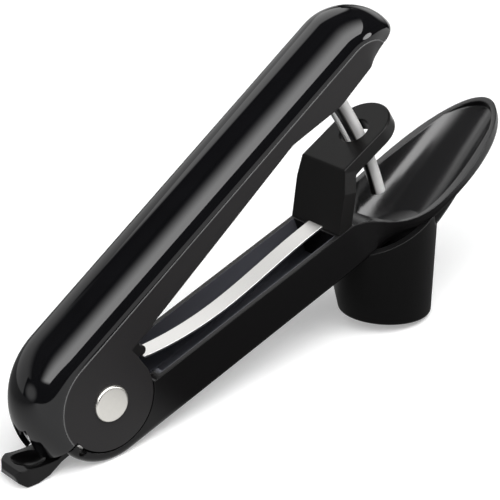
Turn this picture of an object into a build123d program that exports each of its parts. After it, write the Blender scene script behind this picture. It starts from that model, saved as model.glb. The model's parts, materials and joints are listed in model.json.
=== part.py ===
from build123d import *
import os
from math import asin, atan2, cos, degrees, hypot, radians, sin, sqrt

os.makedirs("parts", exist_ok=True)

# Cherry pitter: a channel arm with a cherry spoon and a stone chute, and a domed handle that
# swings over it on one pin and carries the punch. All sizes are in millimetres.
# The tool's own side view is drawn from the pivot: x runs towards the spoon and y is the
# direction of the chute, upwards. The near side of the tool is world -Y.

# Hub and pivot
hub_radius = 20.1
ear_radius = 14.5
pocket_radius = 16.6
cheek_radius = 15.9
pin_radius = 3.0
pin_head_radius = 6.0
pin_head_rise = 1.1
pin_play = 0.05
cap_grip = 0.6
washer_radius = 7.0
washer_play = 0.05
spacer_radius = 4.6

# Widths, each measured out from the middle plane
handle_half = 12.8
handle_wall = 1.4
cover_wall = 1.8
arm_half = 12.4
arm_wall = 2.0
cheek_inner = 10.5
ear_outer = 10.0
ear_inner = 7.8
cam_half = 3.5

# Lower arm, measured along and across a line through the pivot
arm_angle = 24.3
arm_top = -4.2
arm_floor = 2.0
arm_edge_round = 2.5
saddle_front = 96.3
saddle_back = 104.2
screw_at = 100.9
screw_side = 7.6
screw_shank = 1.3
screw_head = 2.5
screw_head_height = 1.6
screw_sink = 0.6
screw_slot = (3.4, 0.7)
screw_slot_depth = 0.8

# Spoon: an oval outline from above, and a rim that dips from the arm's top and climbs to the tip.
# Its other points are measured from the middle of the oval, so that they move with it.
spoon_centre = 133.5
spoon_front = 46.2
spoon_back = 23.0
spoon_half = 19.7
spoon_end = spoon_centre + spoon_front
rim_root = spoon_centre - 30.0
rim_neck = (spoon_centre - 22.5, -7.7)
rim_fall = (spoon_centre - 17.5, -11.2)
rim_low = (spoon_centre - 5.5, -13.6)
rim_rise = (spoon_centre + 20.0, -11.1)
rim_tip = -5.8
neck_round = 12.0
keel_start = spoon_centre - 33.5
keel_neck = (spoon_centre + 0.5, -17.7)
keel_front = (spoon_centre + 22.5, -15.2)
keel_tip = -9.4

# The scoop inside it: each level is a smaller oval, drawn back towards the cherry's seat
scoop_top = -8.6
bowl_floor = -25.8
bowl_wall = 2.0
belly_inset = 1.0
bowl_fullness = 3
bowl_narrowing = 0.93
bowl_shift = 11.0
front_draw = 0.69
back_draw = 0.56

# Chute under the spoon, drawn square to the foot ring
foot_level = -0.8
foot_centre = spoon_centre - 10.3
foot_radius = 16.0
foot_round = 1.6
chute_top_level = 44.0
chute_top_centre = foot_centre - 7.1
chute_top_radius = 21.5
chute_wall = 2.6
chute_lap = 1.3
chute_back = 60.0

# Punch path: an arc round the pivot, so that the rod stays in the middle of its holes
punch_arc = 125.0
punch_radius = 2.45
punch_tip_angle = 20.3
punch_root_angle = 48.6
rib_radius = 0.8
rib_gap = 1.0
rib_end_angle = 30.6
rib_root_angle = 47.2
rib_web = 0.7
punch_chamfer = 0.5
punch_pin_angle = 47.8
punch_pin_radius = 1.0

# Seat ring for the cherry
seat_outer = 6.9
seat_hole = 5.0
seat_height = 0.9
seat_depth = 2.4
seat_bevel = 0.6
seat_at = spoon_centre - 11.2

# Stripper bracket
leg_foot = (89.4, 30.0)
plate_corner = (92.4, 57.9)
leg_thickness = 5.0
leg_foot_half = 12.2
leg_taper = (50.0, 57.0)
bracket_toe = 2.4
bracket_bend = 2.5
bracket_edge = 0.6
plate_angle = 34.5
plate_length = 28.9
plate_thickness = 4.7
plate_half = 10.9
plate_hole_radius = 5.2
plate_hole_at = 15.4
groove_start = 79.6
groove_play = 0.1

# Handle, measured along and across a line through the pivot
handle_angle = 39.0
edge_level = 17.4
crown_height = 8.7
handle_end = 154.4
nose_round = 20.2
nose_taper = 0.22
nose_taper_power = 4
nose_root = 1.8
rear_sweep = 90.0
hub_corner = 7.4
belly_start = (98.0, 12.0)
belly = (119.0, 7.4)
belly_round = 9.0
tip_level = 9.2
tip_lip = 8.4
notch_half = 4.0
notch_level = -8.2

# Inside of the handle
cover_screws = (38.0, 78.0)
web_level = 14.0
web_thick = 2.0
boss_radius = 2.8
cover_screw_shank = 1.2
cover_screw_head = 2.3
cover_screw_bite = 5.0
block_at = 125.0
block_length = 13.0
block_level = 16.0
block_top = 21.2
block_half = 8.0

# Cam round the pivot: a lobe for the spring and a tooth for the lock
cam_radius = 13.0
lobe_angle = -9.6
lobe_reach = 20.3
lobe_round = 1.7
tooth_radius = 15.7
tooth_angle = 194.6
tooth_width = 2.0

# Leaf spring strip, its rivet and the bracket's screws
strip_half = 3.5
strip_thick = 0.8
strip_end = 103.0
strip_bow = (95.0, 52.0)
strip_sag = -6.3
strip_tip = 20.3
strip_lift = -1.5
rivet_shank = 1.0
rivet_head = 1.8
rivet_rise = 0.6
rivet_depth = 4.0
screw_bite = 3.0

# Lock lever and its pin
lock_pin_at = (-10.0, -14.0)
lock_pin_radius = 1.5
lock_half = 6.9
lock_eye = 2.9
tab_end = -29.2
tab_corner = 4.0
thumb_dip = 1.9
thumb_radius = 8.1
thumb_at = -22.2
tab_top = -17.7
catch_rest = 16.1
catch_root = 19.5
catch_angle = 190.0
catch_width = 1.2
neck_bend = (-19.3, -6.4)
neck_top = (-19.8, -2.6)
neck_radius = 1.5
neck_play = 0.3

# The tool stands on its hub and on the toe of the foot ring, which tilts the side view.
toe_x = foot_centre + foot_radius - foot_round
toe_y = foot_level + foot_round
rest_tilt = degrees(asin((hub_radius - foot_round) / hypot(toe_x, toe_y)) + atan2(toe_y, toe_x))

# The pivot's place puts the middle of the whole length, from the thumb tab to the spoon's tip, at X 0.
arm_lean = radians(arm_angle - rest_tilt)
front_reach = spoon_end * cos(arm_lean) - keel_tip * sin(arm_lean)
rear_reach = tab_end * cos(radians(rest_tilt)) + (tab_top - 3.8) * sin(radians(rest_tilt))
pivot_x = -(front_reach + rear_reach) / 2


def side_view(angle):
    """The side plane through the pivot, its x axis this many degrees above the foot plane."""
    slope = radians(angle - rest_tilt)
    return Plane(origin=(pivot_x, 0, hub_radius), x_dir=(cos(slope), 0, sin(slope)), z_dir=(0, -1, 0))


side = side_view(0)
arm_side = side_view(arm_angle)
handle_side = side_view(handle_angle)


def across(plane, along):
    """A plane square to the length of a side plane, its x to the far side and y upwards."""
    return Plane(origin=plane.from_local_coords((along, 0, 0)), x_dir=(0, 1, 0), z_dir=plane.x_dir)


def level_plane(plane, level):
    """A plane along the length of a side plane at one level, its x along and y to the near side."""
    return Plane(origin=plane.from_local_coords((0, level, 0)), x_dir=plane.x_dir, z_dir=plane.y_dir)


def polar(radius, angle):
    """A point at an angle in degrees round the pivot."""
    return (radius * cos(radians(angle)), radius * sin(radians(angle)))


def turn_axis(plane, along, level):
    """The axis square to the side view through one of its points."""
    return Axis(plane.from_local_coords((along, level, 0)), (0, -1, 0))


pivot_axis = turn_axis(side, 0, 0)


def oval(centre, front, back, half):
    """A closed outline of two half ellipses of the same width, one to the front, one to the back."""
    EllipticalCenterArc((centre, 0), front, half, start_angle=-90, arc_size=180)
    EllipticalCenterArc((centre, 0), back, half, start_angle=90, arc_size=180)


def bowl_section(inset, drop, fall):
    """One level of the scoop; fall runs from 0 at its top to 1 at its floor."""
    shrink = (1 - (bowl_narrowing * fall) ** bowl_fullness) ** (1 / bowl_fullness)
    with BuildSketch(level_plane(arm_side, scoop_top - drop + (bowl_floor - scoop_top) * fall)) as section:
        with BuildLine():
            oval(spoon_centre - bowl_shift * fall, (spoon_front - inset) * (1 - front_draw * fall),
                 (spoon_back - inset) * (1 - back_draw * fall), (spoon_half - inset) * shrink)
        make_face()
    return section.sketch


def bowl_loft(inset, drop):
    """The oval scoop as a closed form, inset all round and dropped by a wall's thickness."""
    return Solid.make_loft([bowl_section(inset, drop, k / 4).wire() for k in range(5)])


# Outer form of the lower arm: its side view crossed with its outline from above
rim_start = 222.0 - arm_angle
past_tip = spoon_end + 1
neck_at = spoon_centre - spoon_back * sqrt(1 - (arm_half / spoon_half) ** 2)


def rim_line():
    """The spoon's rim in the side view, from past its tip back to the arm's top."""
    Spline((past_tip, rim_tip), rim_rise, rim_low, rim_fall, rim_neck, (rim_root, arm_top),
           tangents=[(-0.97, -0.24), (-0.96, 0.28)])


with BuildPart() as arm_form:
    with BuildSketch(arm_side):
        with BuildLine():
            CenterArc((0, 0), hub_radius, rim_start, 270 - rim_start)
            Line((0, -hub_radius), (keel_start, -hub_radius))
            Spline((keel_start, -hub_radius), keel_neck, keel_front, (past_tip, keel_tip),
                   tangents=[(1, 0), (0.9, 0.44)])
            Line((past_tip, keel_tip), (past_tip, rim_tip))
            rim_line()
            Polyline((rim_root, arm_top), (17, arm_top), (0, 0), polar(hub_radius, rim_start))
        make_face()
    extrude(amount=spoon_half + 1, both=True)
    with BuildSketch(level_plane(arm_side, -30)):
        with BuildLine():
            oval(spoon_centre, spoon_front, spoon_back, spoon_half)
        make_face()
        with Locations((spoon_centre / 2 - 15, 0)):
            Rectangle(spoon_centre + 30, 2 * arm_half)
        fillet(vertices().filter_by(lambda v: abs(v.X - neck_at) < 0.01), neck_round)
    extrude(amount=70, mode=Mode.INTERSECT)
    low_faces = arm_form.faces().filter_by(lambda f: f.normal_at().dot(arm_side.y_dir) < -0.3)
    fillet(low_faces.edges().filter_by(lambda e: e.geom_type != GeomType.LINE or abs(e.tangent_at(0.5).Y) < 0.9),
           arm_edge_round)
    add(bowl_loft(belly_inset, bowl_wall))
    extrude(bowl_section(belly_inset, bowl_wall, 0), amount=bowl_wall)
    with BuildSketch(arm_side):
        with BuildLine():
            rim_line()
            Polyline((rim_root, arm_top), (rim_root, -arm_top), (past_tip, -arm_top), (past_tip, rim_tip))
        make_face()
    extrude(amount=spoon_half + 1, both=True, mode=Mode.SUBTRACT)

# Lower arm: channel, hub ears and spoon in one moulding
slot_corner = polar(32, 248.0 - arm_angle)
channel_floor = -hub_radius + arm_floor
hub_space_end = 22.0
with BuildPart() as lower_arm:
    add(arm_form.part)
    with BuildSketch(side):
        Circle(ear_radius)
    extrude(amount=ear_outer, both=True)
    add(bowl_loft(bowl_wall, 0), mode=Mode.SUBTRACT)
    extrude(bowl_section(bowl_wall, 0, 0), amount=20, mode=Mode.SUBTRACT)
    # hub space between the ears, open to the top, the rear and the lock slot
    with BuildSketch(arm_side):
        with BuildLine():
            Polyline((0, channel_floor), (hub_space_end, channel_floor), (hub_space_end, 30), (-32, 30),
                     slot_corner, (0, 0), close=True)
        make_face()
        Circle(-channel_floor)
    extrude(amount=ear_inner, both=True, mode=Mode.SUBTRACT)
    # channel in front of the saddle
    with BuildSketch(arm_side):
        with BuildLine():
            Polyline((hub_space_end - 1, channel_floor), (saddle_front, channel_floor), (saddle_front, 10),
                     (hub_space_end - 1, 10), close=True)
        make_face()
    extrude(amount=arm_half - arm_wall, both=True, mode=Mode.SUBTRACT)
    # pockets for the handle's cheeks
    with BuildSketch(side.offset(ear_outer), side.offset(-ear_outer - 5)):
        Circle(pocket_radius)
    extrude(amount=5, mode=Mode.SUBTRACT)
    # bores: pivot, lock pin, seat and bracket screws
    with BuildSketch(side):
        Circle(pin_radius + pin_play)
        with Locations(lock_pin_at):
            Circle(lock_pin_radius)
    extrude(amount=arm_half, both=True, mode=Mode.SUBTRACT)
    with BuildSketch(level_plane(arm_side, bowl_floor - 6)):
        with Locations((seat_at, 0)):
            Circle(seat_outer)
    extrude(amount=10, mode=Mode.SUBTRACT)
    with BuildSketch(level_plane(arm_side, -hub_radius)):
        with Locations((screw_at, screw_side), (screw_at, -screw_side)):
            Circle(screw_shank)
    extrude(amount=20, mode=Mode.SUBTRACT)
    with BuildSketch(level_plane(arm_side, -hub_radius)):
        with Locations((screw_at, screw_side), (screw_at, -screw_side)):
            Circle(screw_head)
    extrude(amount=screw_sink + screw_head_height, mode=Mode.SUBTRACT)
    with BuildSketch(level_plane(arm_side, arm_top)):
        with Locations((screw_at, 0)):
            Circle(rivet_shank)
    extrude(amount=-rivet_depth, mode=Mode.SUBTRACT)
lower_arm.part.label = "lower_arm"
export_step(lower_arm.part, "parts/lower_arm.step")


# Chute: a hollow cone that flares up round the bottom of the spoon
def chute_loft(wall, over):
    """The chute's cone, less a wall thickness; over makes it run past both ends."""
    with BuildSketch(Plane(origin=side.from_local_coords((foot_centre, foot_level - over, 0)),
                           x_dir=side.x_dir, z_dir=side.y_dir)) as foot:
        Circle(foot_radius - wall)
    with BuildSketch(Plane(origin=side.from_local_coords((chute_top_centre, chute_top_level + over, 0)),
                           x_dir=side.x_dir, z_dir=side.y_dir)) as top:
        Circle(chute_top_radius - wall)
    return Solid.make_loft([foot.sketch.wire(), top.sketch.wire()])


with BuildPart() as pit_chute:
    add(chute_loft(0, 0))
    fillet(pit_chute.faces().sort_by(Axis.Z)[0].edges(), foot_round)
    add(chute_loft(chute_wall, 0.01), mode=Mode.SUBTRACT)
    add(arm_form.part, mode=Mode.SUBTRACT)
    with BuildSketch(arm_side):
        with BuildLine():
            Polyline((chute_back, chute_lap - hub_radius), (keel_start, chute_lap - hub_radius),
                     (keel_neck[0], keel_neck[1] + chute_lap), (keel_front[0], keel_front[1] + chute_lap),
                     (keel_front[0], chute_top_level), (chute_back, chute_top_level), close=True)
        make_face()
    extrude(amount=chute_top_radius + 1, both=True, mode=Mode.SUBTRACT)
    # room for the seat ring
    with BuildSketch(level_plane(arm_side, bowl_floor)):
        with Locations((seat_at, 0)):
            Circle(seat_outer + 0.2)
    extrude(amount=-seat_depth - 0.5, mode=Mode.SUBTRACT)
pit_chute.part.label = "pit_chute"
export_step(pit_chute.part, "parts/pit_chute.step")

# Seat ring: the cherry rests on it and the stone leaves through it
with BuildPart() as stone_seat:
    with BuildSketch(across(arm_side, seat_at)):
        with BuildLine():
            Polyline((seat_hole, bowl_floor - seat_depth), (seat_outer, bowl_floor - seat_depth),
                     (seat_outer, bowl_floor + seat_height - seat_bevel),
                     (seat_outer - seat_bevel, bowl_floor + seat_height),
                     (seat_hole + seat_height, bowl_floor + seat_height), (seat_hole, bowl_floor), close=True)
        make_face()
    revolve(axis=Axis(arm_side.from_local_coords((seat_at, 0, 0)), arm_side.y_dir))
stone_seat.part.label = "stone_seat"
export_step(stone_seat.part, "parts/stone_seat.step")

# Stripper bracket: a leg on the arm and a plate with a rounded end over the cherry
plate_plane = Plane(
    origin=side.from_local_coords((*plate_corner, 0)),
    x_dir=side_view(plate_angle).x_dir,
    z_dir=side_view(plate_angle).y_dir,
)
plate_side = Plane(origin=plate_plane.origin, x_dir=plate_plane.x_dir, z_dir=(0, -1, 0))
with BuildPart() as stripper_bracket:
    with BuildSketch(plate_side):
        with BuildLine():
            Polyline((0, 0), (plate_length, 0), (plate_length, -plate_thickness), (0, -plate_thickness), close=True)
        make_face()
    extrude(amount=plate_half, both=True)
    with BuildSketch(side):
        with BuildLine():
            Polyline(leg_foot, plate_corner, (plate_corner[0] + leg_thickness, plate_corner[1]),
                     (leg_foot[0] + leg_thickness, leg_foot[1]), close=True)
        make_face()
    extrude(amount=leg_foot_half, both=True)
    # the leg's foot runs back over the saddle
    with BuildSketch(arm_side):
        with BuildLine():
            Polyline((saddle_front + 3, arm_top), (saddle_back, arm_top), (saddle_back, arm_top + bracket_toe),
                     (saddle_front + 3, arm_top + bracket_toe), close=True)
        make_face()
    extrude(amount=arm_half - arm_wall, both=True)
    # sides taper from the foot to the plate, and the plate's end is round
    with BuildSketch(across(side, 0)):
        with BuildLine():
            Polyline((-leg_foot_half, 0), (-leg_foot_half, leg_taper[0]), (-plate_half, leg_taper[1]),
                     (-plate_half, 100), (plate_half, 100), (plate_half, leg_taper[1]),
                     (leg_foot_half, leg_taper[0]), (leg_foot_half, 0), close=True)
        make_face()
    extrude(amount=150, mode=Mode.INTERSECT)
    with BuildSketch(plate_plane):
        with Locations((plate_length - plate_half - 30, 0)):
            Rectangle(60, 2 * leg_foot_half)
        with Locations((plate_length - plate_half, 0)):
            Circle(plate_half)
    extrude(amount=40, both=True, mode=Mode.INTERSECT)
    # inner bend between leg and plate
    inner_corner = side.from_local_coords((plate_corner[0] + leg_thickness, plate_corner[1] - 0.4 * leg_thickness, 0))
    bend = stripper_bracket.edges().filter_by(Axis.Y).sort_by(lambda e: (e.center() - inner_corner).length)[0]
    fillet(bend, bracket_bend)
    outer = stripper_bracket.faces().filter_by(lambda f: (f.normal_at() - plate_plane.z_dir).length < 0.01)
    fillet(outer.edges(), bracket_edge)
    with BuildSketch(plate_plane):
        with Locations((plate_hole_at, 0)):
            Circle(plate_hole_radius)
    extrude(amount=-10, mode=Mode.SUBTRACT)
    # flat foot on the arm, with a groove for the spring and its rivet, and screw holes
    with BuildSketch(arm_side):
        with BuildLine():
            Polyline((leg_foot[0] - 30, -30), (leg_foot[0] + 30, -30), (leg_foot[0] + 30, arm_top),
                     (leg_foot[0] - 30, arm_top), close=True)
        make_face()
    extrude(amount=leg_foot_half, both=True, mode=Mode.SUBTRACT)
    with BuildSketch(level_plane(arm_side, arm_top)):
        with Locations(((groove_start + strip_end + groove_play) / 2, 0)):
            Rectangle(strip_end + groove_play - groove_start, 2 * (strip_half + groove_play))
    extrude(amount=strip_thick + groove_play / 2, mode=Mode.SUBTRACT)
    with BuildSketch(level_plane(arm_side, arm_top)):
        with Locations((screw_at, 0)):
            Circle(rivet_head + groove_play)
    extrude(amount=strip_thick + rivet_rise + groove_play, mode=Mode.SUBTRACT)
    with BuildSketch(level_plane(arm_side, arm_top)):
        with Locations((screw_at, screw_side), (screw_at, -screw_side)):
            Circle(screw_shank)
    extrude(amount=screw_bite, mode=Mode.SUBTRACT)
stripper_bracket.part.label = "stripper_bracket"
export_step(stripper_bracket.part, "parts/stripper_bracket.step")

# Screws that hold the bracket, their heads sunk in the arm's underside
head_base = level_plane(arm_side, -hub_radius + screw_sink)
for name, place in (("bracket_screw_near", screw_side), ("bracket_screw_far", -screw_side)):
    with BuildPart() as bracket_screw:
        with BuildSketch(head_base):
            with Locations((screw_at, place)):
                Circle(screw_head)
        extrude(amount=screw_head_height)
        with BuildSketch(head_base):
            with Locations((screw_at, place)):
                Circle(screw_shank)
        extrude(amount=hub_radius - screw_sink + arm_top + screw_bite)
        with BuildSketch(head_base):
            with Locations((screw_at, place)):
                Rectangle(screw_slot[0], screw_slot[1])
                Rectangle(screw_slot[1], screw_slot[0])
        extrude(amount=screw_slot_depth, mode=Mode.SUBTRACT)
    bracket_screw.part.label = name
    export_step(bracket_screw.part, f"parts/{name}.step")

# Leaf spring: a bowed strip from under the bracket to the handle's heel
with BuildPart() as leaf_spring:
    with BuildSketch(arm_side):
        with BuildLine():
            low = [(strip_end, arm_top), (strip_bow[0], arm_top), (strip_bow[1], strip_sag), (strip_tip, strip_lift)]
            Line(low[0], low[1])
            Spline(low[1:], tangents=[(-1, 0), (-0.94, 0.28)])
            Line(low[3], (strip_tip, strip_lift + strip_thick))
            high = [(x, y + strip_thick) for x, y in low]
            Spline(high[1:], tangents=[(-1, 0), (-0.94, 0.28)])
            Line(high[1], high[0])
            Line(high[0], low[0])
        make_face()
    extrude(amount=strip_half, both=True)
    with BuildSketch(level_plane(arm_side, arm_top - 1)):
        with Locations((screw_at, 0)):
            Circle(rivet_shank)
    extrude(amount=3, mode=Mode.SUBTRACT)
leaf_spring.part.label = "leaf_spring"
export_step(leaf_spring.part, "parts/leaf_spring.step")

# Rivet through the spring's end
with BuildPart() as spring_rivet:
    with BuildSketch(level_plane(arm_side, arm_top - rivet_depth)):
        with Locations((screw_at, 0)):
            Circle(rivet_shank)
    extrude(amount=rivet_depth + strip_thick)
    with BuildSketch(level_plane(arm_side, arm_top + strip_thick)):
        with Locations((screw_at, 0)):
            Circle(rivet_head)
    extrude(amount=rivet_rise)
spring_rivet.part.label = "spring_rivet"
export_step(spring_rivet.part, "parts/spring_rivet.step")


# Punch: a round rod bent to the arc, with a thin rib on a web that ends in the plate's hole
def radial_plane(angle):
    """The plane through the pivot's axis at an angle; x runs outwards and y to the far side."""
    out = side_view(angle)
    return Plane(origin=out.origin, x_dir=out.x_dir, z_dir=out.y_dir)


rib_arc = punch_arc - punch_radius - rib_gap - rib_radius
with BuildPart() as punch_rod:
    with BuildSketch(radial_plane(punch_tip_angle)) as round_section:
        with Locations((punch_arc, 0)):
            Circle(punch_radius)
    revolve(round_section.sketch, axis=pivot_axis, revolution_arc=punch_root_angle - punch_tip_angle)
    chamfer(punch_rod.faces().filter_by(GeomType.PLANE).sort_by(Axis.Z)[0].edges(), punch_chamfer)
    with BuildSketch(radial_plane(rib_end_angle)) as rib_section:
        with Locations((rib_arc, 0)):
            Circle(rib_radius)
        with Locations(((rib_arc + punch_arc) / 2, 0)):
            Rectangle(punch_arc - rib_arc, rib_web)
    revolve(rib_section.sketch, axis=pivot_axis, revolution_arc=rib_root_angle - rib_end_angle)
    with BuildSketch(handle_side):
        with Locations(polar(punch_arc, punch_pin_angle - handle_angle)):
            Circle(punch_pin_radius)
    extrude(amount=block_half, both=True, mode=Mode.SUBTRACT)
punch_rod.part.label = "punch_rod"
export_step(punch_rod.part, "parts/punch_rod.step")

# Cross pin that holds the punch in its block
with BuildPart() as punch_pin:
    with BuildSketch(handle_side):
        with Locations(polar(punch_arc, punch_pin_angle - handle_angle)):
            Circle(punch_pin_radius)
    extrude(amount=block_half, both=True)
punch_pin.part.label = "punch_pin"
export_step(punch_pin.part, "parts/punch_pin.step")

# Handle: the crown runs straight, then bends down round the tip and back round the pivot
nose_at = handle_end - nose_round
nose_level = edge_level + crown_height - nose_round
nose_edge = edge_level - nose_level
nose_point = handle_side.from_local_coords((nose_at, nose_level, 0))
tip_corner = (nose_at + sqrt(nose_edge ** 2 - (tip_level - nose_level) ** 2), tip_level)
tip_bend = (nose_at + nose_edge * sin(radians(30)), nose_level + nose_edge * cos(radians(30)))


def nose_section(inset, root, turn):
    """A cut through the bent tip, less a wall; turn is 0 where it bends off and 1 at its front."""
    half = handle_half * (1 - nose_taper * sin(radians(90 * turn)) ** nose_taper_power) - inset
    forward = side_view(handle_angle - 90 * turn).x_dir
    with BuildSketch(Plane(origin=nose_point, x_dir=(0, 1, 0), z_dir=forward)) as section:
        with BuildLine():
            EllipticalCenterArc((0, nose_edge), half, crown_height - inset, start_angle=0, arc_size=180)
            if root < nose_edge:
                Polyline((-half, nose_edge), (-half, root), (half, root), (half, nose_edge))
            else:
                Line((-half, nose_edge), (half, nose_edge))
        make_face()
    return section.sketch


def nose_form(inset, root):
    """The tip of the handle, which bends down and narrows, less a wall; root is its inner radius."""
    return Solid.make_loft([nose_section(inset, root, k / 6).wire() for k in range(7)])


def handle_form(inset):
    """The domed handle less a wall: its straight crown, swept rear and bent tip."""
    with BuildPart() as form:
        with BuildSketch(across(handle_side, 0)) as section:
            with BuildLine():
                EllipticalCenterArc((0, edge_level), handle_half - inset, crown_height - inset,
                                    start_angle=0, arc_size=180)
                Line((inset - handle_half, edge_level), (handle_half - inset, edge_level))
            make_face()
        extrude(amount=nose_at)
        revolve(section.sketch, axis=pivot_axis, revolution_arc=rear_sweep)
        add(nose_form(inset, nose_edge))
    return form.part


# Cover: the glossy shell, closed round the tip and open at the rear for the lock
with BuildPart() as handle_cover:
    add(handle_form(0))
    add(handle_form(cover_wall), mode=Mode.SUBTRACT)
    with BuildSketch(handle_side):
        with BuildLine():
            Polyline(tip_corner, (handle_end + 1, tip_lip), (handle_end + 1, 0), (nose_at + 1, 0),
                     (nose_at + 1, nose_level), close=True)
        make_face()
    extrude(amount=handle_half + 1, both=True, mode=Mode.SUBTRACT)
    # screw bosses under the crown
    for along in cover_screws:
        with BuildSketch(level_plane(handle_side, web_level + web_thick)):
            with Locations((along, 0)):
                Circle(boss_radius)
        extrude(amount=edge_level + crown_height - cover_wall / 2 - web_level - web_thick)
        with BuildSketch(level_plane(handle_side, web_level + web_thick)):
            with Locations((along, 0)):
                Circle(cover_screw_shank)
        extrude(amount=cover_screw_bite, mode=Mode.SUBTRACT)
    # arch for the lock lever
    with BuildSketch(across(side, -cam_radius)):
        with Locations((0, notch_level - hub_radius / 2)):
            Rectangle(2 * notch_half, hub_radius)
        with Locations((0, notch_level)):
            Circle(notch_half)
    extrude(amount=-hub_radius, mode=Mode.SUBTRACT)
handle_cover.part.label = "handle_cover"
export_step(handle_cover.part, "parts/handle_cover.step")

# Frame: side walls, cheeks, webs, punch block and the cam round the pivot
with BuildPart() as frame_walls:
    with BuildSketch(across(handle_side, 0)):
        Rectangle(2 * handle_half, 2 * edge_level + 1)
    extrude(amount=nose_at)
    add(nose_form(0, nose_root))
    with BuildSketch(across(handle_side, 0)):
        Rectangle(2 * (handle_half - handle_wall), 2 * edge_level + 2)
    extrude(amount=nose_at, mode=Mode.SUBTRACT)
    add(nose_form(handle_wall, nose_root), mode=Mode.SUBTRACT)
    with BuildSketch(handle_side):
        with BuildLine():
            Polyline((10, edge_level), (10, hub_corner), (cheek_radius, hub_corner), belly_start, belly, tip_corner)
            ThreePointArc(tip_corner, tip_bend, (nose_at, edge_level))
            Line((nose_at, edge_level), (10, edge_level))
        make_face()
        fillet(vertices().filter_by(lambda v: min(abs(v.X - belly[0]), abs(v.X - belly_start[0])) < 0.1),
               belly_round)
    extrude(amount=handle_half, both=True, mode=Mode.INTERSECT)

with BuildPart() as handle_frame:
    with BuildSketch(handle_side.offset(cheek_inner)):
        Circle(cheek_radius)
        with Locations((cheek_radius / 2, edge_level / 2)):
            Rectangle(cheek_radius, edge_level)
        with BuildLine():
            Line((0, 0), (0, edge_level))
            CenterArc((0, 0), edge_level, 90, rear_sweep)
            Line(polar(edge_level, 90 + rear_sweep), (0, 0))
        make_face()
        with Locations((cheek_radius + 5, (hub_corner + edge_level) / 2)):
            Rectangle(10, edge_level - hub_corner)
    extrude(amount=handle_half - cheek_inner)
    mirror(about=Plane.XZ)
    add(frame_walls.part)
    # webs between the walls
    with BuildSketch(handle_side):
        for along in cover_screws:
            with Locations((along, web_level + web_thick / 2)):
                Rectangle(10, web_thick)
        with Locations((22, (hub_corner + edge_level) / 2 + 2)):
            Rectangle(2.4, edge_level - hub_corner - 4)
        with Locations((block_at, (block_level + edge_level) / 2)):
            Rectangle(block_length, edge_level - block_level)
    extrude(amount=handle_half - handle_wall, both=True)
    with BuildSketch(handle_side):
        with Locations((block_at, (block_level + block_top) / 2)):
            Rectangle(block_length, block_top - block_level)
    extrude(amount=block_half, both=True)
    # cam and middle rib
    with BuildSketch(handle_side):
        with BuildLine():
            Polyline((0, 0), (20, 0), (22.5, hub_corner), (22.5, edge_level), (0, edge_level), close=True)
        make_face()
        Circle(cam_radius)
        with BuildLine():
            Polyline(polar(cam_radius - 1, lobe_angle + 22), polar(lobe_reach + lobe_round, lobe_angle + 14),
                     polar(lobe_reach, lobe_angle), polar(cam_radius - 1, lobe_angle - 34), close=True)
        make_face()
        with Locations(polar(lobe_reach, lobe_angle)):
            Circle(lobe_round)
        with BuildLine():
            tooth = tooth_angle - handle_angle
            Polyline(polar(cam_radius - 1, tooth - tooth_width), polar(tooth_radius, tooth - tooth_width),
                     polar(tooth_radius, tooth + tooth_width), polar(cam_radius - 1, tooth + tooth_width), close=True)
        make_face()
    extrude(amount=cam_half, both=True)
    # bores for the pivot pin, the cover screws and the punch
    with BuildSketch(handle_side):
        Circle(pin_radius)
    extrude(amount=20, both=True, mode=Mode.SUBTRACT)
    with BuildSketch(level_plane(handle_side, web_level - 1)):
        with Locations(*[(along, 0) for along in cover_screws]):
            Circle(cover_screw_shank)
    extrude(amount=4, mode=Mode.SUBTRACT)
    add(punch_rod.part, mode=Mode.SUBTRACT)
    add(punch_pin.part, mode=Mode.SUBTRACT)
handle_frame.part.label = "handle_frame"
export_step(handle_frame.part, "parts/handle_frame.step")


# Screws through the webs into the cover's bosses
for name, along in zip(("cover_screw_rear", "cover_screw_front"), cover_screws):
    with BuildPart() as cover_screw:
        with BuildSketch(level_plane(handle_side, web_level - 1.4)):
            with Locations((along, 0)):
                Circle(cover_screw_head)
        extrude(amount=1.4)
        with BuildSketch(level_plane(handle_side, web_level)):
            with Locations((along, 0)):
                Circle(cover_screw_shank)
        extrude(amount=web_thick + cover_screw_bite)
        with BuildSketch(level_plane(handle_side, web_level - 1.4)):
            with Locations((along, 0)):
                Rectangle(3.0, 0.6)
                Rectangle(0.6, 3.0)
        extrude(amount=0.7, mode=Mode.SUBTRACT)
    cover_screw.part.label = name
    export_step(cover_screw.part, f"parts/{name}.step")


# Pivot pin: shank and near head in one, a pressed cap on the far side
with BuildPart() as pivot_pin:
    with BuildSketch(side.offset(-handle_half - cap_grip)):
        Circle(pin_radius)
    extrude(amount=2 * handle_half + cap_grip)
    with BuildSketch(side.offset(handle_half)):
        Circle(pin_head_radius)
    extrude(amount=pin_head_rise)
    rim = pivot_pin.faces().sort_by(Axis.Y)[0].edges()
    fillet(rim, pin_head_rise - 0.2)
pivot_pin.part.label = "pivot_pin"
export_step(pivot_pin.part, "parts/pivot_pin.step")

with BuildPart() as pivot_cap:
    with BuildSketch(side.offset(-handle_half)):
        Circle(pin_head_radius)
    extrude(amount=-pin_head_rise - cap_grip)
    fillet(pivot_cap.faces().sort_by(Axis.Y)[-1].edges(), pin_head_rise)
    with BuildSketch(side.offset(-handle_half)):
        Circle(pin_radius)
    extrude(amount=-cap_grip, mode=Mode.SUBTRACT)
pivot_cap.part.label = "pivot_cap"
export_step(pivot_cap.part, "parts/pivot_cap.step")

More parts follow.
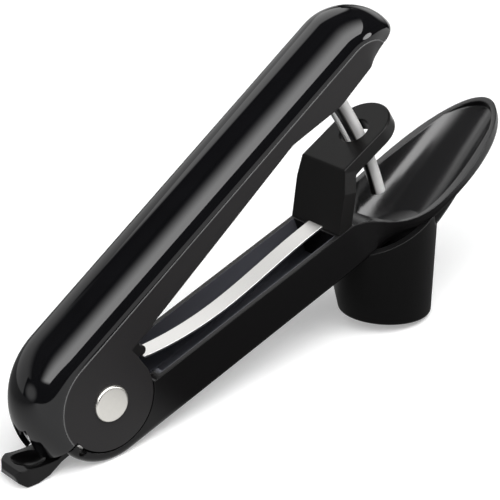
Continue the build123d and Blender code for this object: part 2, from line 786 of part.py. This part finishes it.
# Washers beside the ears and spacers between the ears and the cam
for name, sense in (("near", 1), ("far", -1)):
    with BuildPart() as pivot_washer:
        with BuildSketch(side.offset(sense * (ear_outer + washer_play))):
            Circle(washer_radius)
            Circle(pin_radius, mode=Mode.SUBTRACT)
        extrude(amount=sense * (cheek_inner - ear_outer - washer_play))
    pivot_washer.part.label = f"pivot_washer_{name}"
    export_step(pivot_washer.part, f"parts/pivot_washer_{name}.step")
    with BuildPart() as pivot_spacer:
        with BuildSketch(side.offset(sense * cam_half)):
            Circle(spacer_radius)
            Circle(pin_radius, mode=Mode.SUBTRACT)
        extrude(amount=sense * (ear_inner - washer_play - cam_half))
    pivot_spacer.part.label = f"pivot_spacer_{name}"
    export_step(pivot_spacer.part, f"parts/pivot_spacer_{name}.step")

# Lock lever: a thumb tab with a hollowed top, and a catch that reaches for the cam's tooth
with BuildPart() as lock_lever:
    with BuildSketch(side):
        with BuildLine():
            Polyline((-8.5, -12.2), (-12.0, -14.6), (-15.5, -17.0))
            ThreePointArc((-15.5, -17.0), (-20.6, tab_top), (-26.1, tab_top + 0.1))
            Polyline((-26.1, tab_top + 0.1), (-28.5, -18.6), (tab_end, -20.5), (-28.6, -22.4), (-26.5, -23.6),
                     (-22.5, -23.2), (-18.5, -21.6), (-14.1, -18.2), (-9.0, -15.6), (-8.5, -12.2))
        make_face()
        with Locations(lock_pin_at):
            Circle(lock_eye)
    extrude(amount=lock_half, both=True)
    with BuildSketch(level_plane(side, -40)):
        with Locations((tab_end / 2, 0)):
            RectangleRounded(-tab_end, 2 * lock_half, tab_corner)
        with Locations((lock_pin_at[0] / 2, 0)):
            Rectangle(-lock_pin_at[0] + 2 * lock_eye, 2 * lock_half)
    extrude(amount=60, mode=Mode.INTERSECT)
    # hollow for the thumb
    with Locations(side.from_local_coords((thumb_at, tab_top + thumb_radius - thumb_dip, 0))):
        Sphere(thumb_radius, mode=Mode.SUBTRACT)
    # neck that bends up inside the cover, and the catch on its end
    for start, end in ((lock_pin_at, neck_bend), (neck_bend, neck_top)):
        with BuildSketch(side):
            with Locations(start, end):
                Circle(neck_radius)
            make_hull()
        extrude(amount=cam_half - neck_play, both=True)
    with BuildSketch(side):
        catch = polar((catch_rest + catch_root) / 2, catch_angle)
        with Locations(Location((catch[0], catch[1], 0), (0, 0, catch_angle))):
            Rectangle(catch_root - catch_rest, catch_width)
    extrude(amount=cam_half - neck_play, both=True)
    with BuildSketch(side):
        with Locations(lock_pin_at):
            Circle(lock_pin_radius + pin_play)
    extrude(amount=lock_half + 1, both=True, mode=Mode.SUBTRACT)
lock_lever.part.label = "lock_lever"
export_step(lock_lever.part, "parts/lock_lever.step")

# Pin that the lock lever swings on, held in the ears
with BuildPart() as lock_pin:
    with BuildSketch(side):
        with Locations(lock_pin_at):
            Circle(lock_pin_radius)
    extrude(amount=ear_outer, both=True)
lock_pin.part.label = "lock_pin"
export_step(lock_pin.part, "parts/lock_pin.step")
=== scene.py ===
import json
from math import cos, pi, radians, sin

import bmesh
import bpy
from mathutils import Matrix, Vector


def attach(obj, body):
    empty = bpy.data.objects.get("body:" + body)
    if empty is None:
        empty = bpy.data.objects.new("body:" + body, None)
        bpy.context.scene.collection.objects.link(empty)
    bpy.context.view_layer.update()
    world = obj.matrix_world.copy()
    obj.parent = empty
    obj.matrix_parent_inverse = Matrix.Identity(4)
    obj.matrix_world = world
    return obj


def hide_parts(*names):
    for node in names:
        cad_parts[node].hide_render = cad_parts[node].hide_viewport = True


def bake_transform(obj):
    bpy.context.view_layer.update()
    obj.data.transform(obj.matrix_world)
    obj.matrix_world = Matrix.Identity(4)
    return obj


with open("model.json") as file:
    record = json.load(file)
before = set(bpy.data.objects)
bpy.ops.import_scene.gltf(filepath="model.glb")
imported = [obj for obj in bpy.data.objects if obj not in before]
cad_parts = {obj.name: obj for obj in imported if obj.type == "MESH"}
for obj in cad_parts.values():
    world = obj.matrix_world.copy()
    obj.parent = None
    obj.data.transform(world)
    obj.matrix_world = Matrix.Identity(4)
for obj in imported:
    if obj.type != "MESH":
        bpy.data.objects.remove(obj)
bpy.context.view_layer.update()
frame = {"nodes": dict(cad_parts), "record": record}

# Sizes are in millimetres, in the tool's own side view with the pivot as its origin. A length
# along the handle or the arm, and a level above it, are measured from the line through the pivot
# that lies at that part's angle. Places less than TOUCH apart count as one.
MM = 0.001
PIVOT = Vector((-71.616, 0, 20.1)) * MM
ACROSS = Vector((0, 1, 0))
REST_TILT = radians(8.0597)
ARM_ANGLE = radians(24.3)
HANDLE_ANGLE = radians(39.0)
TOUCH = 0.01

# Handle cover: the lower edge, the crown above it, and the tip that bends down round the nose
HANDLE_HALF = 12.8
CROWN = 8.68
EDGE = 17.4
COVER_WALL = 1.8
NOSE_AT = 134.2
NOSE_LEVEL = 5.9
NOSE_TAPER = 0.22
TURN_STEPS = 24
TIP_CORNER = (145.2, 9.2)
TIP_LIP = (155.4, 8.4)
BOSSES = (38.0, 78.0)
BOSS_FOOT = 16.0
BOSS_RADIUS = 2.8
BOSS_RING = 1.6
BOSS_DEPTH = 5.0
ARCH_AT = -13.0
ARCH_LEVEL = -8.2
ARCH_HALF = 4.0
ARCH_REACH = 12.0

# Punch: a rod and its rib, each bent to an arc round the pivot, between two angles in degrees
PUNCH_ARC = 125.0
PUNCH_RADIUS = 2.45
PUNCH_SPAN = (20.3, 48.6)
PUNCH_STEPS = 28
RIB_ARC = 120.75
RIB_RADIUS = 0.8
RIB_SPAN = (30.6, 47.2)
RIB_WEB = 0.7
CROSS_BORE_ANGLE = radians(47.8)
CROSS_BORE_RADIUS = 1.0
CROSS_BORE_LONG = 8.0

# Leaf spring: how far along, how high and how steep its underside lies at its turning points
STRIP_HALF = 3.5
STRIP_THICK = 0.8
STRIP_LINE = ((103.0, -4.2, 0.0), (95.0, -4.2, 0.0), (52.0, -6.3, -0.016), (20.3, -1.5, -0.298))
STRIP_STEPS = (2, 14, 12)
STRIP_BEND = (70.0, 20.3)
STRIP_LEVEL = -4.0
RIVET_AT = 100.9
RIVET_RADIUS = 1.0
RIVET_LONG = 4.0

# Where a finish or painted light changes: how far across the arm, above it and along it the
# channel with its painted light lies, where the spoon starts, the painted highlight on the edge
# and the middle of the handle, and distances from the pivot on the punch for its painted shade
# in the groove and painted reflection on the outer side
CHANNEL_SIDE = (10.5, 10.9)
CHANNEL_FLOOR = (-18.5, -18.1)
CHANNEL_ENDS = (19.0, 21.0, 96.1, 96.3)
SPOON_START = (100.0, 106.0)
SEAM_PAINTED_HIGHLIGHT = (EDGE - 0.5, EDGE - 0.3)
HANDLE_MIDDLE = (60.0, 62.0)
GROOVE_PAINTED_SHADE = (121.3, 121.6, 122.8, 123.3)
ROD_PAINTED_REFLECTION = (126.9, 127.3)


def along(angle):
    """The direction in the side view that is this far above the tool's own base line."""
    return Vector((cos(angle - REST_TILT), 0, sin(angle - REST_TILT)))


def upright(angle):
    """The direction in the side view that stands on that one."""
    return along(angle + pi / 2)


def spot(x, y, z, angle=0.0):
    """A point of the side view: along a line, across to the far side and above the line."""
    return PIVOT + (along(angle) * x + ACROSS * y + upright(angle) * z) * MM


def seen(point, angle=0.0):
    """A place as spot() takes it."""
    away = (point - PIVOT) / MM
    return away.dot(along(angle)), away.y, away.dot(upright(angle))


# Modelling
def facing(angle):
    """The turn of a shape that looks along a line, its x across and its y upwards."""
    return Matrix((ACROSS, upright(angle), along(angle))).transposed().to_4x4()


def standing(angle):
    """The turn of a shape that stands on a line, its x along it and its y across."""
    return Matrix((along(angle), ACROSS, upright(angle))).transposed().to_4x4()


SIDEWAYS = Matrix.Rotation(pi / 2, 4, "X")


def clear_selection():
    bpy.ops.object.select_all(action="DESELECT")


def start(name, add, origin, turn, stretch=(1, 1, 1), **settings):
    """A primitive at its size and place, with the place in its mesh."""
    clear_selection()
    add(**settings)
    piece = bpy.context.object
    piece.name = name
    piece.matrix_world = Matrix.Translation(origin) @ turn @ Matrix.Diagonal((*stretch, 1))
    bpy.ops.object.transform_apply(location=True, rotation=True, scale=True)
    return piece


def only(piece):
    clear_selection()
    piece.select_set(True)
    bpy.context.view_layer.objects.active = piece


def edit(piece):
    only(piece)
    bpy.ops.object.mode_set(mode="EDIT")


def choose(piece, kind, test):
    """Selects the vertices, edges or faces that lie where the test says, by their middle."""
    bpy.ops.mesh.select_mode(type={"verts": "VERT", "edges": "EDGE", "faces": "FACE"}[kind])
    bpy.ops.mesh.select_all(action="DESELECT")
    shape = bmesh.from_edit_mesh(piece.data)
    for part in getattr(shape, kind):
        corners = [part.co] if kind == "verts" else [corner.co for corner in part.verts]
        if test(sum(corners, Vector()) / len(corners)):
            part.select_set(True)
    shape.select_flush_mode()
    bmesh.update_edit_mesh(piece.data)


def choose_all():
    bpy.ops.mesh.select_all(action="SELECT")


def pull(offset):
    bpy.ops.mesh.extrude_region_move(TRANSFORM_OT_translate={"value": offset})


def sweep(centre, angle, steps, narrowing=None):
    """Extrudes the selection round an axis across the tool; positive turns it down in front."""
    for k in range(steps):
        pull((0, 0, 0))
        bpy.ops.transform.rotate(value=-angle / steps, orient_axis="Y", center_override=centre)
        if narrowing:
            ratio = narrowing((k + 1) / steps) / narrowing(k / steps)
            bpy.ops.transform.resize(value=(1, ratio, 1), center_override=centre)


def close_up():
    """Merges doubles, points the faces outwards and leaves edit mode."""
    choose_all()
    bpy.ops.mesh.remove_doubles(threshold=0.02 * MM)
    bpy.ops.mesh.normals_make_consistent(inside=False)
    bpy.ops.object.mode_set(mode="OBJECT")


def modify(piece, kind, **settings):
    only(piece)
    modifier = piece.modifiers.new(kind.lower(), kind)
    for name, value in settings.items():
        setattr(modifier, name, value)
    bpy.ops.object.modifier_apply(modifier=modifier.name)


def combine(piece, tool, operation):
    """Adds another shape to the piece, or cuts it out, and removes the other."""
    modify(piece, "BOOLEAN", object=tool, operation=operation, solver="EXACT")
    bpy.data.objects.remove(tool)


def drill(piece, centre, turn, radius, depth):
    """Cuts a round hole."""
    bore = start("bore", bpy.ops.mesh.primitive_cylinder_add, centre, turn,
                 vertices=24, radius=radius * MM, depth=depth * MM)
    combine(piece, bore, "DIFFERENCE")


def dress(piece, slot, edge, segments=3, sharp=40):
    """Softens the edges and gives the piece its surface."""
    modify(piece, "BEVEL", width=edge * MM, segments=segments, limit_method="ANGLE",
           angle_limit=radians(sharp))
    bpy.ops.object.shade_smooth_by_angle(angle=radians(40))
    piece.data.materials.clear()
    piece.data.materials.append(finishes[slot])


# Shader arithmetic
class Wire:
    """A value in a node tree, with arithmetic that adds the Math nodes."""

    def __init__(self, tree, socket):
        self.tree = tree
        self.socket = socket

    def node(self, kind, out=0, inputs=None, **settings):
        """Any other node, with its settings and inputs, as the wire that leaves it."""
        made = self.tree.nodes.new(kind)
        for name, value in settings.items():
            setattr(made, name, value)
        for name, value in (inputs or {}).items():
            if isinstance(value, Wire):
                self.tree.links.new(value.socket, made.inputs[name])
            else:
                made.inputs[name].default_value = value
        return Wire(self.tree, made.outputs[out])

    def math(self, operation, *values):
        return self.node("ShaderNodeMath", operation=operation, inputs=dict(enumerate(values)))

    def __add__(self, other):
        return self.math("ADD", self, other)

    def __radd__(self, other):
        return self.math("ADD", other, self)

    def __sub__(self, other):
        return self.math("SUBTRACT", self, other)

    def __rsub__(self, other):
        return self.math("SUBTRACT", other, self)

    def __mul__(self, other):
        return self.math("MULTIPLY", self, other)

    def step(self, low, high):
        """0 below low, 1 above high and a smooth climb between."""
        return self.node("ShaderNodeMapRange", interpolation_type="SMOOTHSTEP",
                         inputs={"Value": self, "From Min": low, "From Max": high})

    def band(self, low, full, last, high):
        """1 from full to last, 0 below low and above high, and smooth between."""
        return self.step(low, full) * (1.0 - self.step(last, high))

    def noise(self, scale, detail=2.0, stretch=(1, 1, 1)):
        """Noise over this position, from 0 to 1."""
        place = self.node("ShaderNodeMapping", inputs={"Vector": self, "Scale": stretch})
        return self.node("ShaderNodeTexNoise",
                         inputs={"Vector": place, "Scale": scale, "Detail": detail})

    def part(self, axis):
        """One axis of this position."""
        return self.node("ShaderNodeSeparateXYZ", out=axis, inputs={0: self})

    def length(self):
        return self.node("ShaderNodeVectorMath", out="Value", operation="LENGTH", inputs={0: self})

    def dot(self, direction):
        return self.node("ShaderNodeVectorMath", out="Value", operation="DOT_PRODUCT",
                         inputs={0: self, 1: tuple(direction)})


def new_material(name):
    """An empty surface: the material, its shader and the position on the piece."""
    material = bpy.data.materials.new(name)
    material.use_nodes = True
    tree = material.node_tree
    coordinates = tree.nodes.new("ShaderNodeTexCoord")
    return material, tree.nodes["Principled BSDF"], Wire(tree, coordinates.outputs["Object"])


def show(material, wire):
    """Makes this wire what the surface shows."""
    tree = material.node_tree
    tree.links.new(wire.socket, tree.nodes["Material Output"].inputs["Surface"])


def feed(shader, **values):
    """Links wires to the shader and sets plain values on it."""
    tree = shader.id_data
    for name, value in values.items():
        socket = shader.inputs[name.replace("_", " ")]
        if isinstance(value, Wire):
            tree.links.new(value.socket, socket)
        else:
            socket.default_value = value


def mix_colour(place, first, second, amount):
    """A colour between two others, each a plain one or a wire."""
    first, second = (c if isinstance(c, Wire) else (*c, 1) for c in (first, second))
    return place.node("ShaderNodeMix", out=2, data_type="RGBA",
                      inputs={0: amount, 6: first, 7: second})


def tone(colour, share):
    """A darker or lighter tone of a colour."""
    return tuple(c * share for c in colour)


def side_view(place, angle):
    """How many millimetres a position lies along a line of the side view and above it."""
    away = place.node("ShaderNodeVectorMath", operation="SUBTRACT",
                      inputs={0: place, 1: tuple(PIVOT)})
    return away.dot(along(angle)) * (1 / MM), away.dot(upright(angle)) * (1 / MM)


def reach(ahead, above):
    """The distance from the origin in the side view."""
    return ahead.math("SQRT", ahead * ahead + above * above)


def grain(place, height, strength, corner):
    """Fine relief from a height; corner is the radius of the soft edges under it."""
    edges = place.node("ShaderNodeBevel", samples=6, inputs={"Radius": corner * MM})
    return place.node("ShaderNodeBump", inputs={
        "Height": height, "Strength": strength, "Distance": 0.0001, "Normal": edges})


def cloud(place):
    """The slow change of a moulded surface."""
    return place.noise(45, 3)


def spark_grain(place, strength):
    """The fine grain of a spark-eroded mould."""
    return grain(place, place.noise(2600, 2), strength, 0.5)


def gloss_black():
    """Polished black cover with faint moulding swirl."""
    material, shader, place = new_material("gloss_black")
    swirl = place.noise(60, 3)
    colour = mix_colour(place, (0.003, 0.003, 0.0035), (0.006, 0.006, 0.007), swirl)
    feed(shader, Base_Color=colour, Roughness=0.03 + swirl * 0.04, IOR=1.5)
    return material


def satin(name, base, rough=0.45, bump=0.25, sheen=0.5):
    """Fine spark-eroded plastic."""
    material, shader, place = new_material(name)
    drift = cloud(place)
    feed(shader, Base_Color=mix_colour(place, tone(base, 0.85), tone(base, 1.15), drift),
         Roughness=rough - 0.04 + drift * 0.08, IOR=1.48, Specular_IOR_Level=sheen,
         Normal=spark_grain(place, bump))
    return material


def steel(name, rough, grain_scale, stretch, base, bump):
    """Drawn or brushed steel, the grain along one direction."""
    material, shader, place = new_material(name)
    lines = place.noise(grain_scale, 3, stretch)
    feed(shader, Base_Color=mix_colour(place, tone(base, 0.9), base, lines), Metallic=1.0,
         Roughness=rough - 0.05 + lines * 0.1, Normal=grain(place, lines, bump, 0.15))
    return material


def rod_steel():
    """Polished steel, with painted shade in the groove between rod and rib and a painted black
    reflection along the rod's outer side.
    """
    material, shader, place = new_material("polished_steel")
    arc = reach(*side_view(place, 0))
    # painted shade in the groove and a painted black reflection along the rod's outer side, both
    # laid on as near-black colour
    painted_shade_and_reflection = arc.band(*GROOVE_PAINTED_SHADE) + arc.step(*ROD_PAINTED_REFLECTION)
    colour = mix_colour(place, (0.95, 0.945, 0.935), (0.01, 0.01, 0.01), painted_shade_and_reflection)
    drawn = grain(place, place.noise(1500, 3, (1, 1, 0.1)), 0.02, 0.15)
    feed(shader, Base_Color=colour, Metallic=0.1, Roughness=0.3, Normal=drawn)
    return material


def arm_black():
    """The arm's moulding: sleek outside, duller in the trough with painted light greying it,
    polished in the spoon.
    """
    material, shader, place = new_material("arm_black")
    ahead, above = side_view(place, ARM_ANGLE)
    side = place.math("ABSOLUTE", place.part("Y")) * (1 / MM)
    channel_painted_light = ((1.0 - side.step(*CHANNEL_SIDE)) * above.step(*CHANNEL_FLOOR)
               * ahead.band(*CHANNEL_ENDS))
    drift = cloud(place)
    # painted light: the channel's colour is lifted to grey (0.1) to stand in for light that does
    # not reach under the handle; the same mask also makes it rougher
    feed(shader, Base_Color=mix_colour(place, (0.004, 0.0037, 0.004), (0.1, 0.102, 0.12), channel_painted_light),
         Roughness=0.22 + drift * 0.06 + channel_painted_light * 0.2, IOR=1.48, Specular_IOR_Level=0.3,
         Normal=spark_grain(place, 0.1))
    polished = place.node("ShaderNodeBsdfPrincipled", inputs={
        "Base Color": (0.016, 0.016, 0.0165, 1), "Roughness": 0.16 + drift * 0.05, "IOR": 1.5,
        "Specular IOR Level": 0.8, "Normal": grain(place, place.noise(1400, 2), 0.02, 0.7)})
    slope = place.node("ShaderNodeNewGeometry", out="Normal").dot(upright(ARM_ANGLE))
    show(material, place.node("ShaderNodeMixShader", inputs={
        0: ahead.step(*SPOON_START) * slope.step(-0.05, 0.2),
        1: Wire(place.tree, shader.outputs[0]), 2: polished}))
    return material


def frame_black():
    """The handle's matte side walls, with a painted highlight along the edge where they meet the
    cover.
    """
    material, shader, place = new_material("frame_black")
    ahead, above = side_view(place, HANDLE_ANGLE)
    rear = reach(place.math("MINIMUM", ahead, 0.0), above)
    tip = reach(place.math("MAXIMUM", ahead - NOSE_AT, 0.0), above - NOSE_LEVEL) + NOSE_LEVEL
    front = ahead.step(*HANDLE_MIDDLE)
    level = rear * (1.0 - front) + tip * front
    drift = cloud(place)
    moulded = mix_colour(place, (0.0125, 0.0114, 0.012), (0.017, 0.0155, 0.0163), drift)
    # painted highlight: a light grey band (0.16) along the top of the side walls where they meet
    # the cover
    feed(shader, Base_Color=mix_colour(place, moulded, (0.16, 0.16, 0.16), level.step(*SEAM_PAINTED_HIGHLIGHT)),
         Roughness=0.41 + drift * 0.08, IOR=1.48, Specular_IOR_Level=0.36,
         Normal=spark_grain(place, 0.25))
    return material


finishes = {
    "gloss_black": gloss_black(),
    "satin_black": satin("satin_black", (0.015, 0.0135, 0.0143), sheen=0.36),
    "soft_black": satin("soft_black", (0.014, 0.014, 0.014), 0.6),
    "white_plastic": satin("white_plastic", (0.6, 0.59, 0.56)),
    "brushed_steel": steel("brushed_steel", 0.3, 2600, (0.04, 1, 1), (0.82, 0.81, 0.79), 0.05),
    "polished_steel": rod_steel(),
    "screw_steel": steel("screw_steel", 0.3, 900, (1, 1, 1), (0.5, 0.5, 0.5), 0.12),
}
special = {
    "handle_frame": frame_black(),
    "lower_arm": arm_black(),
    "stripper_bracket": satin("bracket_black", (0.004, 0.0036, 0.0036), 0.34, 0.15, 0.27),
    "lock_lever": satin("lock_black", (0.003, 0.0028, 0.003), 0.24, 0.1, 0.3),
    "pit_chute": satin("chute_black", (0.003, 0.0029, 0.003), 0.36, 0.2, 0.4),
    "pivot_pin": steel("pin_steel", 0.32, 700, (1, 1, 1), (0.9, 0.88, 0.83), 0.04),
}
slots = {entry["node"]: entry["material_slot"] for entry in frame["record"]["subparts"]}
for name, node in frame["nodes"].items():
    node.data.materials.clear()
    node.data.materials.append(special.get(name) or finishes[slots[name]])


def narrowing(turn):
    """The tip's width against the handle's, by how far the tip has bent down."""
    return 1 - NOSE_TAPER * sin(turn * pi / 2) ** 4


def boss(at):
    """A screw boss with its blind hole, open at the foot."""
    top = EDGE + CROWN - COVER_WALL / 2
    post = start("boss", bpy.ops.mesh.primitive_cylinder_add,
                 spot(at, 0, (BOSS_FOOT + top) / 2, HANDLE_ANGLE), standing(HANDLE_ANGLE),
                 vertices=32, radius=BOSS_RADIUS * MM, depth=(top - BOSS_FOOT) * MM)
    edit(post)
    choose(post, "faces", lambda middle: seen(middle, HANDLE_ANGLE)[2] < BOSS_FOOT + TOUCH)
    bpy.ops.mesh.inset(thickness=BOSS_RING * MM)
    pull(upright(HANDLE_ANGLE) * BOSS_DEPTH * MM)
    close_up()
    return post


def lever_arch():
    """The arch that is cut from the cover's rear for the lock lever."""
    arch = start("arch", bpy.ops.mesh.primitive_circle_add, spot(ARCH_AT, 0, ARCH_LEVEL),
                 facing(0), vertices=48, radius=ARCH_HALF * MM, fill_type="NGON")
    edit(arch)
    choose(arch, "verts", lambda middle: seen(middle)[2] < ARCH_LEVEL - TOUCH)
    bpy.ops.transform.translate(value=along(-pi / 2) * ARCH_REACH * MM)
    choose_all()
    pull(along(pi) * ARCH_REACH * MM)
    close_up()
    return arch


def handle_cover():
    """A glossy shell along the handle, swept round the pivot and bent down at the tip."""
    shell = start("cover_shell", bpy.ops.mesh.primitive_circle_add,
                  spot(0, 0, EDGE, HANDLE_ANGLE), facing(HANDLE_ANGLE),
                  (1, CROWN / HANDLE_HALF, 1), vertices=112, radius=HANDLE_HALF * MM)
    edit(shell)
    choose(shell, "verts", lambda middle: seen(middle, HANDLE_ANGLE)[2] < EDGE - TOUCH)
    bpy.ops.mesh.delete(type="VERT")
    choose_all()
    pull(along(HANDLE_ANGLE) * NOSE_AT * MM)
    sweep(spot(NOSE_AT, 0, NOSE_LEVEL, HANDLE_ANGLE), pi / 2, TURN_STEPS, narrowing)
    choose(shell, "verts", lambda middle: abs(seen(middle, HANDLE_ANGLE)[0]) < TOUCH)
    sweep(PIVOT, -pi / 2, TURN_STEPS)
    # the tip's lip, cut straight forward from the corner of the side wall
    choose(shell, "faces", lambda middle: seen(middle, HANDLE_ANGLE)[0] > NOSE_AT + 1)
    corner, lip = (spot(x, 0, z, HANDLE_ANGLE) for x, z in (TIP_CORNER, TIP_LIP))
    bpy.ops.mesh.bisect(plane_co=corner, plane_no=(lip - corner).cross(ACROSS).normalized(),
                        clear_inner=True)
    close_up()
    modify(shell, "SOLIDIFY", thickness=COVER_WALL * MM, offset=-1, use_even_offset=True)
    for at in BOSSES:
        combine(shell, boss(at), "UNION")
    combine(shell, lever_arch(), "DIFFERENCE")
    dress(shell, "gloss_black", 0.35)
    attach(shell, "lever")
    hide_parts("handle_cover")


def bent_bar(name, add, arc, span, stretch=(1, 1, 1), **settings):
    """A section swept round the pivot between two angles."""
    low, high = (radians(end) for end in span)
    bar = start(name, add, spot(arc, 0, 0, low), standing(low), stretch, **settings)
    edit(bar)
    choose_all()
    sweep(PIVOT, low - high, PUNCH_STEPS)
    close_up()
    return bar


def punch_rod():
    """A polished rod with a thin rib on a web along its inner side, and a bore for its pin."""
    rod = bent_bar("punch_bar", bpy.ops.mesh.primitive_circle_add, PUNCH_ARC, PUNCH_SPAN,
                   vertices=48, radius=PUNCH_RADIUS * MM, fill_type="NGON")
    web = bent_bar("punch_web", bpy.ops.mesh.primitive_plane_add, (RIB_ARC + PUNCH_ARC) / 2,
                   RIB_SPAN, (PUNCH_ARC - RIB_ARC, RIB_WEB, 1), size=MM)
    rib = bent_bar("punch_rib", bpy.ops.mesh.primitive_circle_add, RIB_ARC, RIB_SPAN,
                   vertices=24, radius=RIB_RADIUS * MM, fill_type="NGON")
    combine(rod, web, "UNION")
    combine(rod, rib, "UNION")
    drill(rod, spot(PUNCH_ARC, 0, 0, CROSS_BORE_ANGLE), SIDEWAYS, CROSS_BORE_RADIUS,
          CROSS_BORE_LONG)
    dress(rod, "polished_steel", 0.25)
    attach(rod, "lever")
    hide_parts("punch_rod")


def strip_level(low, high, share):
    """The height of a smooth curve part of the way from one turning point to the next."""
    run = high[0] - low[0]
    rest = 1 - share
    return (low[1] * rest ** 2 * (1 + 2 * share) + high[1] * share ** 2 * (1 + 2 * rest)
            + run * share * rest * (low[2] * rest - high[2] * share))


def leaf_spring():
    """A steel strip, riveted to the arm in front."""
    first = STRIP_LINE[0]
    strip = start("spring_strip", bpy.ops.mesh.primitive_plane_add,
                  spot(first[0], 0, first[1] + STRIP_THICK / 2, ARM_ANGLE), facing(ARM_ANGLE),
                  (2 * STRIP_HALF, STRIP_THICK, 1), size=MM)
    edit(strip)
    choose_all()
    for low, high, steps in zip(STRIP_LINE, STRIP_LINE[1:], STRIP_STEPS):
        advance = (high[0] - low[0]) / steps
        for k in range(steps):
            rise = strip_level(low, high, (k + 1) / steps) - strip_level(low, high, k / steps)
            pull((along(ARM_ANGLE) * advance + upright(ARM_ANGLE) * rise) * MM)
    close_up()
    drill(strip, spot(RIVET_AT, 0, STRIP_LEVEL, ARM_ANGLE), standing(ARM_ANGLE), RIVET_RADIUS,
          RIVET_LONG)
    dress(strip, "brushed_steel", 0.1, segments=1, sharp=60)
    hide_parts("leaf_spring")
    fixed, loose = (spot(at, 0, STRIP_LEVEL, ARM_ANGLE) for at in STRIP_BEND)
    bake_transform(strip)


handle_cover()
punch_rod()
leaf_spring()

# Stage: a pale floor that the camera sees as white, and large soft cards that light the tool
FLOOR_LIFT = 0.3
FLOOR_BOUNCE = 0.12
FLOOR_FRONT = 0.9
FLOOR_BEHIND = 0.15
FLOOR_SHADE = 0.85
ROOM_LIGHT = 0.02


def light_path(tree, output):
    return Wire(tree, tree.nodes.new("ShaderNodeLightPath").outputs[output])


def make_floor():
    """White to the camera but for the shadow; in reflections bright in front, dim behind, with a
    painted shadow patch next to the tool.
    """
    clear_selection()
    bpy.ops.mesh.primitive_plane_add(size=8, location=(0, 0, 0))
    floor = bpy.context.object
    floor.name = "floor"
    material, shader, place = new_material("floor_white")
    tree = place.tree
    lift = mix_colour(place, (FLOOR_LIFT,) * 3, (1, 1, 1), place.length().step(0.3, 1.0))
    feed(shader, Base_Color=(0.8, 0.8, 0.8, 1), Roughness=0.95, Emission_Color=lift,
         Emission_Strength=1.0)
    bounce = place.node("ShaderNodeBsdfDiffuse", inputs={"Color": (*(FLOOR_BOUNCE,) * 3, 1)})
    x, y = place.part("X"), place.part("Y")
    behind = (y - place.math("MAXIMUM", x, 0.0) * 1.4).step(-0.06, 0.12)
    # painted shadow: a dark patch next to the tool where its shadow falls, seen only in reflections
    # of the floor
    shadow_patch_painted = x.band(-0.052, -0.032, 0.13, 0.18) * y.band(-0.14, -0.11, 0.02, 0.06)
    glow = (FLOOR_FRONT + behind * (FLOOR_BEHIND - FLOOR_FRONT)) * (1.0 - shadow_patch_painted * FLOOR_SHADE)
    mirrored = place.node("ShaderNodeEmission", inputs={"Strength": glow})
    unseen = place.node("ShaderNodeMixShader", inputs={
        0: light_path(tree, "Is Glossy Ray"), 1: bounce, 2: mirrored})
    show(material, place.node("ShaderNodeMixShader", inputs={
        0: light_path(tree, "Is Camera Ray"), 1: unseen, 2: Wire(tree, shader.outputs[0])}))
    floor.data.materials.append(material)


def card(name, centre, turn, width, height, strength):
    """A glowing card; strength makes its brightness from the place on it."""
    clear_selection()
    bpy.ops.mesh.primitive_plane_add(size=1, location=centre, rotation=[radians(a) for a in turn])
    made = bpy.context.object
    made.name = name
    made.scale = (width, height, 1)
    material, _, place = new_material(name)
    show(material, place.node("ShaderNodeEmission", inputs={"Strength": strength(place)}))
    made.data.materials.append(material)
    made.visible_camera = False


def over_the_tool(level):
    """Full at the back of the card, fading towards its front and at its rear end."""
    def glow(place):
        return place.part("Y").step(-0.42, 0.12) * place.part("X").step(-0.5, -0.36) * level
    return glow


def behind_the_tool(level):
    """Full in the lower half of the card, fading towards its top."""
    return lambda place: (1.0 - place.part("Y").step(-0.05, 0.5)) * level


def soft(level, full=0.15):
    """Fades out towards all the card's edges from a full middle."""
    return lambda place: (1.0 - place.length().step(full, 0.5)) * level


# name, centre, turn, width, height and brightness
CARDS = (
    ("top_card", (-1.1, -0.7, 1.6), (180, 0, 0), 4.8, 2.3, over_the_tool(4.8)),
    ("back_card", (-0.7, 2.0, 1.0), (90, 0, 0), 6.8, 2.0, behind_the_tool(0.6)),
    ("strip_card", (0.577, 1.774, 1.166), (122, 0, -18), 2.1, 1.7, soft(1.25, 0.38)),
    ("right_card", (1.6, 0.9, 0.45), (80, 0, -60), 1.5, 1.1, soft(0.9)),
    ("tip_card", (1.04, -1.04, 0.31), (102, 0, -135), 0.6, 0.5, soft(6.5, 0.42)),
    ("left_card", (-1.93, 0.52, 0.3), (95, 0, 75), 1.4, 0.8, soft(0.9)),
)
make_floor()
for entry in CARDS:
    card(*entry)

world = bpy.data.worlds.new("studio")
bpy.context.scene.world = world
world.use_nodes = True
room = world.node_tree
backdrop = room.nodes["Background"]
backdrop.inputs["Color"].default_value = (1, 1, 1, 1)
bright = light_path(room, "Is Camera Ray") * (1 - ROOM_LIGHT) + ROOM_LIGHT
room.links.new(bright.socket, backdrop.inputs["Strength"])

# Camera: fitted to the photo by the pin head, the foot ring and the long edges
EYE = PIVOT + Vector((-276.67, -474.1, 299.0)) * MM
AZIMUTH = radians(35.922)
ELEVATION = radians(25.154)
ROLL = radians(5.215)
clear_selection()
bpy.ops.object.camera_add(location=EYE)
camera = bpy.context.object
camera.name = "camera"
back = Vector((-sin(AZIMUTH) * cos(ELEVATION), -cos(AZIMUTH) * cos(ELEVATION), sin(ELEVATION)))
aim = back.to_track_quat("Z", "Y") @ Matrix.Rotation(-ROLL, 3, "Z").to_quaternion()
camera.rotation_euler = aim.to_euler()
camera.data.sensor_width = 36
camera.data.lens = 144
camera.data.clip_start = 0.01
camera.data.clip_end = 20
camera.data.dof.use_dof = False
bpy.context.scene.camera = camera
bpy.context.scene.view_settings.view_transform = "Standard"
